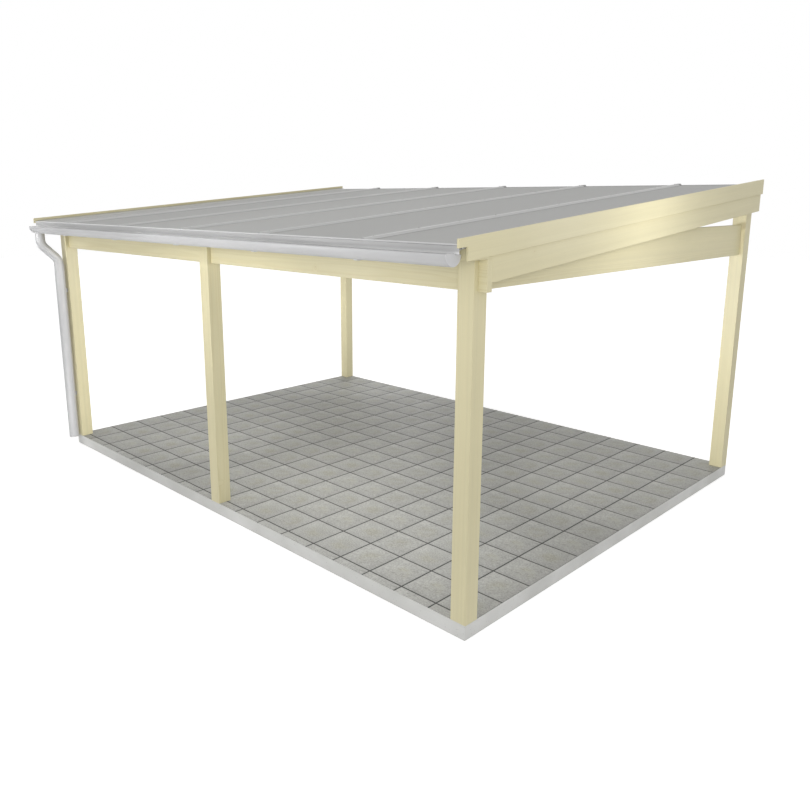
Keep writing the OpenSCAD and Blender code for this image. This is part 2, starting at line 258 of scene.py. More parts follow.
EARLY_WOOD = tone(217, 209, 172)
LATE_WOOD = tone(203, 192, 148)
KNOT_WOOD = tone(176, 150, 102)
CONCRETE = tone(214, 214, 212)
CONCRETE_DARK = tone(207, 207, 204)
TILE_LIGHT = tone(160, 160, 156)
TILE_DARK = tone(152, 152, 148)
TILE_OCHRE = tone(149, 147, 131)
GROUT = tone(36, 36, 35)
GROUT_DUSTY = tone(50, 50, 48)
SHEET = tone(183, 183, 181)
SHEET_WEB = tone(188, 188, 186)
BAR_METAL = tone(183, 183, 182)
# Painted light: the eaves profile's grey is set lighter than the bars' grey of the same aluminium,
# against the shade it stands in.
EDGE_METAL = tone(190, 190, 190)
GUTTER_METAL = tone(207, 207, 208)
PIPE_METAL = tone(201, 201, 202)
# The bead's grey is set lighter than the eaves profile's, a painted highlight along the top of the
# eaves.
BEAD_METAL = tone(208, 208, 208)
CAP_GREY = tone(150, 150, 148)
SEAL_GREY = tone(150, 150, 148)
STEEL = tone(182, 182, 180)
WHITE = (1.0, 1.0, 1.0, 1.0)


# ---------------------------------------------------------------- wood

RING = 4.2 * MM
RING_WANDER = 4 * RING
KNOT_SWIRL = 1.5 * RING
KNOT_SPACING = 0.34
KNOT_SIZE = 10 * MM
LATE_WOOD_SHARE = 0.5
HALO_SHARE = 0.12
KNOT_SHARE = 0.45


def add_knots(tree, grain):
    """Masks of the small knots and of the wood that sweeps round them."""
    cells = add_node(tree, "TexVoronoi", {"Vector": grain, "Scale": 1 / KNOT_SPACING})
    reach = maths(tree, "MULTIPLY", cells.outputs["Distance"], KNOT_SPACING)
    knot = ranged(tree, reach, (0.6 * KNOT_SIZE, KNOT_SIZE), (1.0, 0.0), smooth=True)
    halo = ranged(tree, reach, (KNOT_SIZE, 4 * KNOT_SIZE), (1.0, 0.0), smooth=True)
    return knot, halo


def add_growth_rings(tree, grain, halo):
    """Mask of the late wood, which grows in slowly through each ring and ends sharply."""
    wander = stretched_noise(tree, grain, (0.7, 5.0, 5.0))
    wander = maths(tree, "MULTIPLY", maths(tree, "SUBTRACT", wander, 0.5), RING_WANDER)
    swirl = maths(tree, "MULTIPLY", halo, KNOT_SWIRL)
    radius = length_of(tree, vector_maths(tree, "MULTIPLY", grain, (0.0, 1.0, 1.0)))
    radius = maths(tree, "ADD", maths(tree, "ADD", radius, wander), swirl)
    phase = maths(tree, "FRACT", maths(tree, "DIVIDE", radius, RING))
    late = ranged(tree, phase, (0.45, 0.92), (0.0, 1.0), smooth=True)
    late = maths(tree, "MULTIPLY", late, ranged(tree, phase, (0.93, 1.0), (1.0, 0.0)))
    uneven = stretched_noise(tree, grain, (0.4, 30.0, 30.0), detail=1.0)
    return maths(tree, "MULTIPLY", late, ranged(tree, uneven, (0.3, 0.7), (0.35, 1.0)))


def make_planed_softwood():
    """Pale planed softwood with growth rings, fibres and small knots; it reads the piece's
    own grain coordinates: along the fibres first, then across them from the heart."""
    made, tree, shader = new_finish("Planed softwood")
    grain = piece_place(tree, "grain")
    knot, halo = add_knots(tree, grain)
    late = add_growth_rings(tree, grain, halo)
    fibres = stretched_noise(tree, grain, (3.0, 420.0, 420.0), detail=3.0, roughness=0.6)
    streaks = stretched_noise(tree, grain, (0.5, 34.0, 34.0), detail=3.0, roughness=0.6)
    patches = use(tree, PATCHINESS, {"Place": grain, "Patches per metre": 1.3, "Strength": 0.03})

    colour = mixed(tree, maths(tree, "MULTIPLY", late, LATE_WOOD_SHARE), EARLY_WOOD, LATE_WOOD)
    colour = toned(tree, colour, ranged(tree, fibres, (0.25, 0.75), (0.975, 1.02)))
    colour = toned(tree, colour, ranged(tree, streaks, (0.3, 0.7), (0.965, 1.025)))
    colour = toned(tree, colour, patches["Tone"])
    colour = mixed(tree, maths(tree, "MULTIPLY", halo, HALO_SHARE), colour, LATE_WOOD)
    colour = mixed(tree, maths(tree, "MULTIPLY", knot, KNOT_SHARE), colour, KNOT_WOOD)
    tree.links.new(colour, shader["Base Color"])
    tree.links.new(ranged(tree, fibres, (0.2, 0.8), (0.5, 0.4)), shader["Roughness"])
    ridges = maths(tree, "SUBTRACT", fibres, maths(tree, "MULTIPLY", late, 0.3))
    relief(tree, shader, ridges, 0.15 * MM)
    return made


# ---------------------------------------------------------------- slab and floor finishes

TILE = 300 * MM
JOINT = 8 * MM
RIM_WIDTH = 13 * MM
RIM_TONE = 0.72
BLUSH_OFFSET = (-12 * MM, 12 * MM, 0.0)
BLUSH_REACH = (30 * MM, 125 * MM)
BLUSH_SHARE = 0.55


def make_cast_concrete():
    """Pale cast concrete with sand and pores, a little darker and rougher in patches."""
    made, tree, shader = new_finish("Cast concrete")
    place = object_place(tree)
    patches = use(tree, PATCHINESS, {"Place": place, "Patches per metre": 2.2, "Strength": 0.07})
    grit = use(tree, GRIT, {"Place": place, "Grains per metre": 260.0, "Strength": 0.10, "Pores": 1.0})
    colour = toned(tree, mixed(tree, patches["Mask"], CONCRETE_DARK, CONCRETE), grit["Tone"])
    tree.links.new(toned(tree, colour, patches["Tone"]), shader["Base Color"])
    tree.links.new(ranged(tree, patches["Mask"], (0.0, 1.0), (0.85, 0.72)), shader["Roughness"])
    relief(tree, shader, grit["Height"], 0.5 * MM)
    return made


def add_blush(tree, print_place):
    """Share of the ochre stain in the middle of a tile."""
    off_centre = vector_maths(tree, "MULTIPLY", print_place, (1.0, 1.0, 0.0))
    off_centre = vector_maths(tree, "ADD", off_centre, BLUSH_OFFSET)
    middle = ranged(tree, length_of(tree, off_centre), BLUSH_REACH, (1.0, 0.0), smooth=True)
    stain = stretched_noise(tree, print_place, (9.0, 9.0, 2.3))
    stain = ranged(tree, stain, (0.38, 0.62), (0.25, 1.0), smooth=True)
    return maths(tree, "MULTIPLY", maths(tree, "MULTIPLY", stain, middle), BLUSH_SHARE)


def add_rim(tree, across, along):
    """Darker tone round a tile's edge, where dirt from the joint stays."""
    furthest = maths(tree, "MAXIMUM", maths(tree, "ABSOLUTE", across), maths(tree, "ABSOLUTE", along))
    edge = (TILE / 2 - RIM_WIDTH, TILE / 2 - JOINT / 2)
    return ranged(tree, furthest, edge, (1.0, RIM_TONE), smooth=True)


def make_floor_tile():
    """Stone-look tile; it reads each tile's own coordinates: across, along and print number."""
    made, tree, shader = new_finish("Stone-look tile")
    print_place = piece_place(tree, "print")
    cloud = stretched_noise(tree, print_place, (8.0, 8.0, 1.7), 3.0, 0.55)
    veins = stretched_noise(tree, print_place, (22.0, 60.0, 3.1), 4.0, 0.65, 0.6)
    grain = stretched_noise(tree, print_place, (85.0, 85.0, 3.0), 3.0, 0.65)
    speck = stretched_noise(tree, print_place, (340.0, 340.0, 5.0), 3.0, 0.7)
    parts = apart(tree, print_place)
    towards_corner = maths(tree, "SUBTRACT", parts["Y"], parts["X"])
    light_corner = ranged(tree, towards_corner, (-0.2, 0.2), (0.9, 1.1))

    colour = mixed(tree, ranged(tree, cloud, (0.3, 0.7), (0.0, 1.0), smooth=True), TILE_DARK, TILE_LIGHT)
    colour = mixed(tree, add_blush(tree, print_place), colour, TILE_OCHRE)
    colour = toned(tree, colour, ranged(tree, veins, (0.3, 0.7), (0.95, 1.05)))
    colour = toned(tree, colour, ranged(tree, grain, (0.3, 0.7), (0.75, 1.25)))
    colour = toned(tree, colour, ranged(tree, speck, (0.3, 0.7), (0.84, 1.16)))
    colour = toned(tree, toned(tree, colour, light_corner), add_rim(tree, parts["X"], parts["Y"]))
    tree.links.new(colour, shader["Base Color"])
    tree.links.new(ranged(tree, cloud, (0.2, 0.8), (0.62, 0.5)), shader["Roughness"])
    relief(tree, shader, maths(tree, "ADD", speck, maths(tree, "MULTIPLY", veins, 2.0)), 0.25 * MM)
    return made


def make_joint_mortar():
    """Dark sandy mortar, dusty in patches."""
    made, tree, shader = new_finish("Joint mortar")
    place = object_place(tree)
    grit = use(tree, GRIT, {"Place": place, "Grains per metre": 700.0, "Strength": 0.25, "Pores": 0.3})
    patches = use(tree, PATCHINESS, {"Place": place, "Patches per metre": 3.0, "Strength": 0.15})
    colour = toned(tree, mixed(tree, patches["Mask"], GROUT, GROUT_DUSTY), grit["Tone"])
    tree.links.new(colour, shader["Base Color"])
    shader["Roughness"].default_value = 0.9
    relief(tree, shader, grit["Height"], 0.4 * MM)
    return made


# ---------------------------------------------------------------- roof and rainwater finishes

FLUTE = 16 * MM
WEB_SHARE = 0.5

# Painted light and shade laid over a metal's grey: the axis, the stretch along it and the tones at
# either end.
PaintedLight = namedtuple("PaintedLight", "axis start end start_tone end_tone")
EAVES_LOW, EAVES_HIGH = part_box("eaves_profile")
GUTTER_LOW, GUTTER_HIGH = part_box("gutter")
# Painted light: the eaves profile's lower part, in the gutter's shade, is made up to 1.7 times lighter,
# and the rest a little darker.
EAVES_LIP = 0.4 * (EAVES_HIGH.z - EAVES_LOW.z)
EAVES_PAINTED_LIGHT = PaintedLight("Z", EAVES_LOW.z, EAVES_LOW.z + EAVES_LIP, 1.7, 0.96)
# Painted light and shade: the gutter is made lighter towards its bottom and darker towards its top.
GUTTER_PAINTED_LIGHT = PaintedLight("Z", GUTTER_LOW.z, GUTTER_HIGH.z, 1.2, 0.82)
# Painted highlight and shade: the bead is lighter along its left part and darker towards its right end.
BEAD_PAINTED_LIGHT = PaintedLight("X", 0.4 * EAVES_LOW.x, EAVES_HIGH.x, 1.1, 0.88)


def make_twin_wall_sheet():
    """Twin-wall sheet: its inner webs show as faint lines that run up the slope."""
    made, tree, shader = new_finish("Twin-wall sheet")
    place = object_place(tree)
    phase = maths(tree, "FRACT", maths(tree, "DIVIDE", apart(tree, place)["X"], FLUTE))
    off_web = maths(tree, "ABSOLUTE", maths(tree, "SUBTRACT", phase, 0.5))
    web = ranged(tree, off_web, (0.40, 0.5), (0.0, 1.0), smooth=True)
    line_place = vector_maths(tree, "MULTIPLY", place, (260.0, 1.6, 1.6))
    lines = use(tree, DRAWN_LINES, {"Place": line_place, "Strength": 0.03})
    patches = use(tree, PATCHINESS, {"Place": place, "Patches per metre": 0.8, "Strength": 0.03})
    colour = mixed(tree, maths(tree, "MULTIPLY", web, WEB_SHARE), SHEET, SHEET_WEB)
    colour = toned(tree, toned(tree, colour, lines["Tone"]), patches["Tone"])
    tree.links.new(colour, shader["Base Color"])
    tree.links.new(ranged(tree, patches["Mask"], (0.0, 1.0), (0.62, 0.7)), shader["Roughness"])
    shader["Specular IOR Level"].default_value = 0.15
    height = maths(tree, "ADD", web, maths(tree, "MULTIPLY", lines["Height"], 0.3))
    relief(tree, shader, height, 0.12 * MM)
    return made


def make_profile_metal(name, colour, lines_per_metre, roughness, line_strength, metal, painted_light=None):
    """Satin extruded or rolled metal with fine lines, few to the metre along it and many across;
    its grey can carry painted light and shade: an axis, a stretch along it and the tones at either end."""
    made, tree, shader = new_finish(name)
    place = object_place(tree)
    line_place = vector_maths(tree, "MULTIPLY", place, lines_per_metre)
    lines = use(tree, DRAWN_LINES, {"Place": line_place, "Strength": line_strength})
    patches = use(tree, PATCHINESS, {"Place": place, "Patches per metre": 1.7, "Strength": 0.05})
    shade = toned(tree, toned(tree, colour, lines["Tone"]), patches["Tone"])
    # Painted light and shade: the grey is made lighter or darker along one axis, where the lamps leave
    # the part too dark or too bright.
    if painted_light:
        stretch = (painted_light.start, painted_light.end)
        tones = (painted_light.start_tone, painted_light.end_tone)
        painted_tone = ranged(tree, apart(tree, place)[painted_light.axis], stretch, tones, smooth=True)
        shade = toned(tree, shade, painted_tone)
    tree.links.new(shade, shader["Base Color"])
    rough = ranged(tree, patches["Mask"], (0.0, 1.0), (roughness, roughness + 0.08))
    tree.links.new(rough, shader["Roughness"])
    shader["Metallic"].default_value = metal
    relief(tree, shader, lines["Height"], 0.05 * MM)
    return made


def make_moulded_rubber(name, colour):
    """Dull moulded rubber or plastic with a fine even grit."""
    made, tree, shader = new_finish(name)
    place = object_place(tree)
    grit = use(tree, GRIT, {"Place": place, "Grains per metre": 900.0, "Strength": 0.12, "Pores": 0.0})
    patches = use(tree, PATCHINESS, {"Place": place, "Patches per metre": 9.0, "Strength": 0.08})
    shade = toned(tree, toned(tree, colour, grit["Tone"]), patches["Tone"])
    tree.links.new(shade, shader["Base Color"])
    tree.links.new(ranged(tree, patches["Mask"], (0.0, 1.0), (0.5, 0.62)), shader["Roughness"])
    relief(tree, shader, grit["Height"], 0.08 * MM)
    return made


SOFTWOOD = make_planed_softwood()
CAST_CONCRETE = make_cast_concrete()
FLOOR_TILE = make_floor_tile()
JOINT_MORTAR = make_joint_mortar()
TWIN_WALL = make_twin_wall_sheet()
BAR_FINISH = make_profile_metal(
    "Satin aluminium bar", BAR_METAL, lines_per_metre=(420.0, 3.0, 420.0),
    roughness=0.36, line_strength=0.05, metal=0.8)
EDGE_FINISH = make_profile_metal(
    "Satin aluminium edge", EDGE_METAL, lines_per_metre=(3.0, 420.0, 420.0),
    roughness=0.4, line_strength=0.05, metal=0.1, painted_light=EAVES_PAINTED_LIGHT)
GUTTER_FINISH = make_profile_metal(
    "Rolled gutter metal", GUTTER_METAL, lines_per_metre=(3.0, 300.0, 300.0),
    roughness=0.42, line_strength=0.03, metal=0.15, painted_light=GUTTER_PAINTED_LIGHT)
PIPE_FINISH = make_profile_metal(
    "Drawn pipe metal", PIPE_METAL, lines_per_metre=(300.0, 300.0, 3.0),
    roughness=0.42, line_strength=0.03, metal=0.15)
BEAD_FINISH = make_profile_metal(
    "Polished aluminium bead", BEAD_METAL, lines_per_metre=(3.0, 420.0, 420.0),
    roughness=0.4, line_strength=0.05, metal=0.35, painted_light=BEAD_PAINTED_LIGHT)
SCREW_STEEL = make_profile_metal(
    "Bright steel", STEEL, lines_per_metre=(900.0, 900.0, 900.0),
    roughness=0.3, line_strength=0.1, metal=0.9)
CAP_PLASTIC = make_moulded_rubber("Moulded end cap", CAP_GREY)
SEAL_RUBBER = make_moulded_rubber("Seal rubber", SEAL_GREY)


# ---------------------------------------------------------------- shapes

# Radius to which the sharp edges of each slot's pieces are rounded.
EASED = {
    "concrete": 4 * MM, "timber": 1.5 * MM, "glazing_bar": 0.8 * MM,
    "rainwater_metal": 0.6 * MM, "roof_sheet": 0.5 * MM}


def piece_of(name, shape, finish, stands_for=()):
    """Turns a bmesh into a piece that rides on the frame."""
    mesh = bpy.data.meshes.new(name)
    shape.to_mesh(mesh)
    shape.free()
    for face in mesh.polygons:
        face.use_smooth = True
    mesh.set_sharp_from_angle(angle=SHARP)
    mesh.materials.append(finish)
    made = bpy.data.objects.new(name, mesh)
    SCENE.collection.objects.link(made)
    weighted = made.modifiers.new("Even shading", "WEIGHTED_NORMAL")
    weighted.keep_sharp = True
    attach(made, "root")
    if stands_for:
        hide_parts(*stands_for)
    return made


def nodes_with(slot):
    return sorted(node for node, name in SLOT_OF.items() if name == slot)


def solid_of(node):
    """A CAD node's solid with its flat faces whole again."""
    shape = bmesh.new()
    shape.from_mesh(NODES[node].data)
    bmesh.ops.remove_doubles(shape, verts=shape.verts, dist=WELD)
    bmesh.ops.dissolve_limit(shape, angle_limit=FLAT, verts=shape.verts, edges=shape.edges)
    return shape


def ease_edges(shape, radius, steps=2):
    """Rounds the sharp edges, as planing, rolling or casting leaves them."""
    sharp = [edge for edge in shape.edges if edge.is_manifold and edge.calc_face_angle() > SHARP]
    bmesh.ops.bevel(
        shape, geom=sharp, offset=radius, offset_type="OFFSET",
        affect="EDGES", segments=steps, profile=0.5, clamp_overlap=True)


def face_outwards(shape):
    bmesh.ops.recalc_face_normals(shape, faces=shape.faces)


def add_box(shape, low, high):
    """Adds a plain block between two corners."""
    matrix = Matrix.Translation((low + high) / 2) @ Matrix.Diagonal((*(high - low), 1.0))
    bmesh.ops.create_cube(shape, size=1.0, matrix=matrix)


def join_rings(shape, lower, upper):
    """Adds a band of four-sided faces between two rings of points."""
    for i in range(len(lower)):
        j = (i + 1) % len(lower)
        shape.faces.new((lower[i], lower[j], upper[j], upper[i]))


def close_body(shape, rings):
    """Joins rings of points into a body, closed at the first ring and the last."""
    for lower, upper in zip(rings, rings[1:]):
        join_rings(shape, lower, upper)
    shape.faces.new(reversed(rings[0]))
    shape.faces.new(rings[-1])


def add_run(shape, outline, start, end):
    """Adds a straight length with the given outline, each point an offset from the line."""
    rings = [[shape.verts.new(place + offset) for offset in outline] for place in (start, end)]
    close_body(shape, rings)


def add_turned(shape, profile, matrix, sides):
    """Adds a turned or faceted body from (radius, height) pairs."""
    rings = []
    for radius, height in profile:
        ring = []
        for i in range(sides):
            angle = 2 * math.pi * (i + 0.5) / sides
            point = Vector((radius * math.cos(angle), radius * math.sin(angle), height))
            ring.append(shape.verts.new(matrix @ point))
        rings.append(ring)
    close_body(shape, rings)


def arc(middle_y, middle_z, radius, start, end, steps):
    """Points of an arc across the X axis, from one angle in degrees to another."""
    points = []
    for i in range(steps + 1):
        angle = math.radians(start + (end - start) * i / steps)
        across, up = radius * math.cos(angle), radius * math.sin(angle)
        points.append(Vector((0, middle_y + across, middle_z + up)))
    return points


def corners_of(low, high):
    """Corners of a level rectangle, anticlockwise from the left front one."""
    return [(low.x, low.y), (high.x, low.y), (high.x, high.y), (low.x, high.y)]


# ---------------------------------------------------------------- timbers

# A log's heart is so many millimetres from the middle of the piece sawn from it, and the
# pattern along the grain starts anywhere in a log of so many metres.
HEART_NEAREST, HEART_FURTHEST = 110, 260
LOG_LENGTH = 40
UPRIGHT = 0.9
TIMBER_SEED = 11


def long_axis(shape):
    longest = max(shape.edges, key=lambda edge: edge.calc_length())
    return (longest.verts[1].co - longest.verts[0].co).normalized()


def mark_grain(shape, luck):
    """Writes each point's grain coordinates: along the piece, and across it from the heart of
    the log that it was sawn from."""
    along = long_axis(shape)
    side = Vector((0, 1, 0)) if abs(along.z) > UPRIGHT else Vector((0, 0, 1))
    across = side.cross(along).normalized()
    rise = along.cross(across)
    layer = shape.verts.layers.float_vector.new("grain")
    middle = sum((vert.co for vert in shape.verts), Vector()) / len(shape.verts)
    turn = luck.uniform(0, 2 * math.pi)
    heart = luck.uniform(HEART_NEAREST, HEART_FURTHEST) * MM
    start = luck.uniform(0, LOG_LENGTH)
    for vert in shape.verts:
        place = vert.co - middle
        vert[layer] = Vector((
            place.dot(along) + start,
            place.dot(across) + heart * math.cos(turn),
            place.dot(rise) + heart * math.sin(turn)))


def make_timbers():
    """Every post, beam, rafter and board, each with a grain of its own."""
    luck = random.Random(TIMBER_SEED)
    for node in nodes_with("timber"):
        shape = solid_of(node)
        ease_edges(shape, EASED["timber"])
        mark_grain(shape, luck)
        piece_of(node + "_planed", shape, SOFTWOOD, [node])


# ---------------------------------------------------------------- slab and floor

SLAB_STEPS = 3
FRONT_CUT = 80 * MM
JOINT_DEPTH = 0.6 * MM
ARRIS = 0.5 * MM
ARRIS_SLOPE = 0.3
TILE_SEED = 5
PRINTS = 7
PRINT_STEP = 3.7
MOST_SETTLED = 0.1
TRIM = 3 * MM
TRIM_DROP = 0.4 * MM
TRIM_EASED = 0.5 * MM


def make_slab():
    """Cast slab that the floor is laid on."""
    shape = solid_of("foundation_slab")
    ease_edges(shape, EASED["concrete"], SLAB_STEPS)
    piece_of("foundation_slab_cast", shape, CAST_CONCRETE, ["foundation_slab"])


def tile_lines(start, end, first_joint):
    """Middles of the joints along one direction, with both ends of the floor."""
    joints = math.ceil((end - TRIM - first_joint) / TILE)
    return [start] + [first_joint + TILE * i for i in range(joints)] + [end]


def add_tile(shape, low, high, middle):
    """Adds a tile with worn upper edges and its own print coordinates."""
    slope = ARRIS_SLOPE * ARRIS
    profile = [(0.0, low.z), (0.0, high.z - ARRIS), (slope, high.z - slope), (ARRIS, high.z)]
    rings = []
    for inset, height in profile:
        step = Vector((inset, inset, 0))
        rings.append([shape.verts.new((x, y, height)) for x, y in corners_of(low + step, high - step)])
    close_body(shape, rings)
    layer = shape.verts.layers.float_vector["print"]
    for vert in (vert for ring in rings for vert in ring):
        vert[layer] = Vector((vert.co.x, vert.co.y, 0)) - middle


def make_tiles(low, high):
    """Tiles set out from the right edge and from the row of cut ones along the front."""
    luck = random.Random(TILE_SEED)
    tiles = bmesh.new()
    tiles.verts.layers.float_vector.new("print")
    full_columns = math.ceil((high.x - TRIM - low.x) / TILE) - 1
    xs = tile_lines(low.x, high.x, high.x - TILE * full_columns)
    ys = tile_lines(low.y, high.y, low.y + FRONT_CUT)
    gap = JOINT / 2
    for left, right in zip(xs, xs[1:]):
        for near, far in zip(ys, ys[1:]):
            middle_x = right - TILE / 2 if left == low.x else left + TILE / 2
            middle_y = far - TILE / 2 if near == low.y else near + TILE / 2
            print_number = luck.randrange(PRINTS)
            settled = luck.uniform(0, MOST_SETTLED) * MM
            x_low, x_high = max(left + gap, low.x + TRIM), min(right - gap, high.x - TRIM)
            y_low, y_high = max(near + gap, low.y + TRIM), min(far - gap, high.y - TRIM)
            add_tile(
                tiles, Vector((x_low, y_low, low.z)), Vector((x_high, y_high, high.z - settled)),
                Vector((middle_x, middle_y, -PRINT_STEP * print_number)))
    piece_of("floor_tiles_laid", tiles, FLOOR_TILE, ["floor_tiles"])


def make_floor():
    """Tiles, the mortar in their joints and the trim round the floor's edge."""
    low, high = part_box("floor_tiles")
    make_tiles(low, high)
    inset = Vector((TRIM, TRIM, 0))
    inner_low, inner_high = low + inset, high - inset

    mortar = bmesh.new()
    add_box(mortar, inner_low, inner_high - Vector((0, 0, JOINT_DEPTH)))
    piece_of("tile_joints", mortar, JOINT_MORTAR)

    trim = bmesh.new()
    outer, inner = corners_of(low, high), corners_of(inner_low, inner_high)
    top = high.z - TRIM_DROP
    rings = [[trim.verts.new((x, y, z)) for x, y in line]
             for line, z in ((outer, low.z), (outer, top), (inner, top), (inner, low.z))]
    for first, second in zip(rings, rings[1:] + rings[:1]):
        join_rings(trim, first, second)
    ease_edges(trim, TRIM_EASED)
    piece_of("floor_edge_trim", trim, CAST_CONCRETE)


# ---------------------------------------------------------------- roof

# A glazing bar's bevels fall by this much more than they reach out.
BEVEL_DROP = 1 * MM
SCREW_PITCH = 400 * MM
SCREW_MARGIN = 90 * MM
WASHER_PROFILE = [(7.5 * MM, 0.0), (7.5 * MM, 0.8 * MM), (5.25 * MM, 1.6 * MM)]
WASHER_SIDES = 20
HEAD_PROFILE = [(5 * MM, 1.2 * MM), (5 * MM, 4.2 * MM), (4.25 * MM, 5.0 * MM)]
HEAD_SIDES = 6
CAP_LENGTH = 40 * MM
CAP_WALL = 1.2 * MM
SEAL_SIZE = 2 * MM
SEAL_EDGE = 0.6 * SEAL_SIZE
NEAR_END = 5 * MM
NEAR_LEVEL = 0.5 * MM

BEAD_RADIUS = 6 * MM
BEAD_STEPS = 16
BEAD_MARGIN = 1 * MM

Crest = namedtuple("Crest", "front back along across off half_width foot height")


def make_roof():
    """Twin-wall sheets, and the bars and profiles that hold them."""
    for node in nodes_with("roof_sheet"):
        shape = solid_of(node)
        ease_edges(shape, EASED["roof_sheet"])
        piece_of(node + "_twin_wall", shape, TWIN_WALL, [node])
    for node in nodes_with("glazing_bar"):
        shape = solid_of(node)
        ease_edges(shape, EASED["glazing_bar"])
        finish = EDGE_FINISH if node == "eaves_profile" else BAR_FINISH
        piece_of(node + "_extruded", shape, finish, [node])


def crest_of(node):
    """A bar's crest: its front and back ends, the directions along, across and off it, half the
    widths of crest and foot, and the height between them."""
    low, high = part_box(node)
    shape = solid_of(node)
    top = max(shape.faces, key=lambda face: face.normal.z * face.calc_area())
    off = top.normal.copy()
    ends = []
    for furthest in (min, max):
        level = furthest(vert.co.y for vert in top.verts)
        line = [vert.co for vert in top.verts if abs(vert.co.y - level) < NEAR_END]
        ends.append(sum(line, Vector()) / len(line))
    front, back = ends
    along = (back - front).normalized()
    foot = (high.x - low.x) / 2
    half_width = max(
        abs(vert.co.x - front.x) for vert in shape.verts
        if abs((vert.co - front).dot(off)) < NEAR_LEVEL)
    shape.free()
    height = foot - half_width + BEVEL_DROP
    return Crest(front, back, along, along.cross(off), off, half_width, foot, height)


def add_screws(shape, crest):
    """Adds a row of hexagon heads on domed washers along a crest."""
    turn = Matrix((crest.across, crest.along, crest.off)).transposed().to_4x4()
    length = (crest.back - crest.front).length - 2 * SCREW_MARGIN
    spaces = round(length / SCREW_PITCH)
    for i in range(spaces + 1):
        place = crest.front + crest.along * (SCREW_MARGIN + length * i / spaces)
        matrix = Matrix.Translation(place) @ turn
        add_turned(shape, WASHER_PROFILE, matrix, WASHER_SIDES)
        add_turned(shape, HEAD_PROFILE, matrix, HEAD_SIDES)


def add_end_cap(shape, crest):
    """Adds the cap over a bar's back end."""
    top, foot = crest.half_width + CAP_WALL, crest.foot + CAP_WALL
    outline = [
        -crest.across * foot - crest.off * crest.height,
        -crest.across * top + crest.off * CAP_WALL,
        crest.across * top + crest.off * CAP_WALL,
        crest.across * foot - crest.off * crest.height]
    add_run(shape, outline, crest.back - crest.along * CAP_LENGTH, crest.back)


def add_seals(shape, crest):
    """Adds the strips that seal a bar's two edges to the sheets, up to its cap."""
    for side in (-1, 1):
        out = crest.across * side
        edge = out * crest.foot - crest.off * crest.height
        outline = [
            edge,
            edge + out * SEAL_SIZE,
            edge + out * SEAL_SIZE + crest.off * SEAL_EDGE,
            edge + crest.off * SEAL_SIZE]
        add_run(shape, outline, crest.front, crest.back - crest.along * CAP_LENGTH)


def make_bar_fixings():
    """Screws, end caps and seals of the bars between the roof sheets."""
    screws, caps, seals = bmesh.new(), bmesh.new(), bmesh.new()
    for node in nodes_with("glazing_bar"):
        if node.startswith("glazing_bar"):
            crest = crest_of(node)
            add_screws(screws, crest)
            add_end_cap(caps, crest)
            add_seals(seals, crest)
    for shape in (screws, caps, seals):
        face_outwards(shape)
    piece_of("bar_screws", screws, SCREW_STEEL)
    piece_of("bar_end_caps", caps, CAP_PLASTIC)
    piece_of("bar_seals", seals, SEAL_RUBBER)


def make_eaves_bead():
    """Polished bead along the top of the eaves profile's face."""
    low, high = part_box("eaves_profile")
    level = high.z - BEAD_RADIUS
    start = Vector((low.x + BEAD_MARGIN, low.y, level))
    end = Vector((high.x - BEAD_MARGIN, low.y, level))
    shape = bmesh.new()
    add_run(shape, arc(0, 0, BEAD_RADIUS, 0, 360, BEAD_STEPS)[:-1], start, end)
    face_outwards(shape)
    piece_of("eaves_bead", shape, BEAD_FINISH)


# ---------------------------------------------------------------- rainwater goods

STOP_THICKNESS = 8 * MM
STOP_STEPS = 24
STOP_EASED = 1.5 * MM
LIP_DEPTH = 70 * MM
GUTTER_BEAD_RADIUS = 8 * MM
GUTTER_BEAD_STEPS = 4


def make_gutter_stops():
    """Pressed caps on the gutter's ends, with a lip behind the front bead."""
    low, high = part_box("gutter")
    radius = (high.y - low.y) / 2
    rim = high.z - GUTTER_BEAD_RADIUS
    bead_y = low.y + GUTTER_BEAD_RADIUS
    bowl = arc(low.y + radius, rim, radius, 180, 360, STOP_STEPS)
    lip = [Vector((0, bead_y + LIP_DEPTH, rim)), Vector((0, low.y + LIP_DEPTH, high.z))]
    bead = arc(bead_y, rim, GUTTER_BEAD_RADIUS, 90, 180, GUTTER_BEAD_STEPS)[:-1]
    shape = bmesh.new()
    for end, outward in ((low.x, -1), (high.x, 1)):
        outer_face = Vector((end + outward * STOP_THICKNESS, 0, 0))
        add_run(shape, bowl + lip + bead, Vector((end, 0, 0)), outer_face)
    face_outwards(shape)
    ease_edges(shape, STOP_EASED)
    piece_of("gutter_end_stops", shape, PIPE_FINISH)


def make_rainwater():
    """Gutter on its brackets, and the swan neck and pipe in their holders."""
    for node in nodes_with("rainwater_metal"):
        shape = solid_of(node)
        ease_edges(shape, EASED["rainwater_metal"], steps=1)
        finish = GUTTER_FINISH if node.startswith("gutter") else PIPE_FINISH
        piece_of(node + "_metal", shape, finish, [node])


make_timbers()
make_slab()
make_floor()
make_roof()
make_bar_fixings()
make_eaves_bead()
make_gutter_stops()
make_rainwater()


# ---------------------------------------------------------------- stage, light and camera

FLOOR_SIZE = 60.0
STAGE_COLOUR = tone(238, 238, 238)
STAGE_LIFT = 0.50
FILL = 0.71
CAMERA_PLACE = (5.223, -5.234, 2.607)
CAMERA_PITCH = 12.39
CAMERA_TURN = 45.0
CAMERA_LENS = 33.65
CAMERA_SENSOR = 36.0
CAMERA_SHIFT = (0.0296, -0.0506)


